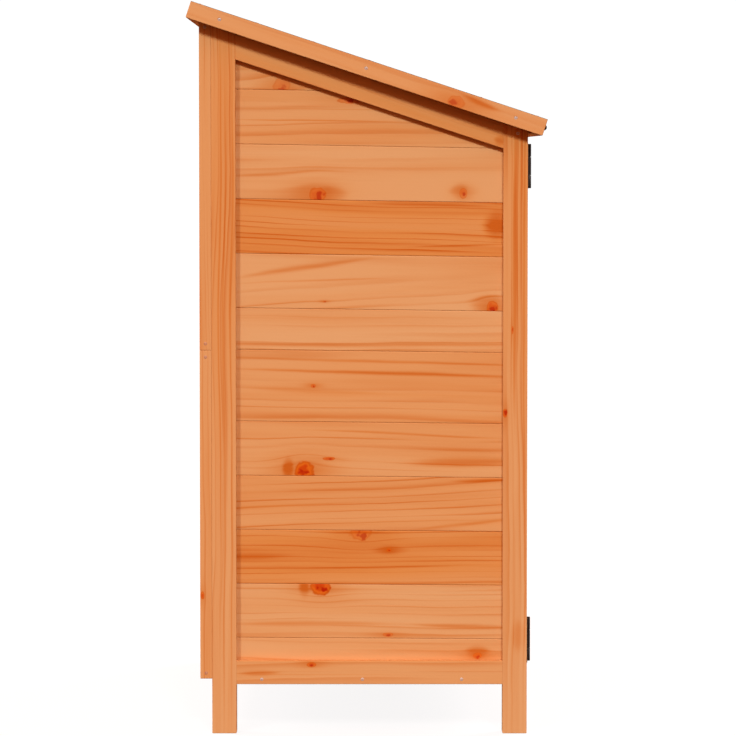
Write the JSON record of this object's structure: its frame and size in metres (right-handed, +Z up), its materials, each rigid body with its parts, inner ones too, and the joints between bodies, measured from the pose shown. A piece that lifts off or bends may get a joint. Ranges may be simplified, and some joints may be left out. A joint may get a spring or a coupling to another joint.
{
  "type": "wooden garden shed",
  "caption": "Cabinet-type wooden garden shed on four feet, with a lean-to roof, boarded walls and a pair of hinged front doors.",
  "frame": {"origin": "on the ground, under the middle of the roof", "axes": "+Z up, -Y towards the front with the doors, +X to the right of someone who looks at the back from the front"},
  "size_m": [0.88, 0.5738, 1.1724],
  "materials": {
    "post_wood": "satin stain",
    "rail_wood": "satin stain",
    "board_wood": "satin stain",
    "roof_felt": "mineral felt",
    "black_metal": "black",
    "screw_steel": "zinc plated"
  },
  "bodies": {
    "cabinet": {"front_post_left": "post_wood", "front_post_right": "post_wood", "rear_post_left": "post_wood", "rear_post_right": "post_wood", "side_bottom_rail_left": "rail_wood", "side_bottom_rail_right": "rail_wood", "side_top_rail_left": "rail_wood", "side_top_rail_right": "rail_wood", "side_boards_left": "board_wood", "side_boards_right": "board_wood", "back_lower_stile_left": "post_wood", "back_lower_stile_right": "post_wood", "back_lower_rails": "rail_wood", "back_lower_boards": "board_wood", "back_upper_stile_left": "post_wood", "back_upper_stile_right": "post_wood", "back_upper_rails": "rail_wood", "back_upper_boards": "board_wood", "front_header": "rail_wood", "front_sill": "rail_wood", "floor_bearers": "rail_wood", "floor_boards": "board_wood", "roof_battens": "rail_wood", "roof_boards": "board_wood", "roof_covering": "roof_felt", "front_fascia": "rail_wood", "rear_fascia": "rail_wood", "barge_board_left": "rail_wood", "barge_board_right": "rail_wood", "hinge_post_leaves_left": "black_metal", "hinge_post_leaves_right": "black_metal"},
    "left_door": {"door_hinge_stile_left": "post_wood", "door_meeting_stile_left": "post_wood", "door_rails_left": "rail_wood", "door_boards_left": "board_wood", "door_knob_left": "black_metal", "hinge_door_leaves_left": "black_metal"},
    "right_door": {"door_hinge_stile_right": "post_wood", "door_meeting_stile_right": "post_wood", "door_rails_right": "rail_wood", "door_boards_right": "board_wood", "door_knob_right": "black_metal", "hinge_door_leaves_right": "black_metal"}
  },
  "joints": [
    {"name": "left_door_hinge", "type": "hinge", "parent": "cabinet", "child": "left_door", "pos_m": [-0.3795, -0.25987, 0.53], "axis": [0, 0, -1], "range_deg": [0, 180]},
    {"name": "right_door_hinge", "type": "hinge", "parent": "cabinet", "child": "right_door", "pos_m": [0.3795, -0.25987, 0.53], "axis": [0, 0, 1], "range_deg": [0, 180]}
  ]
}
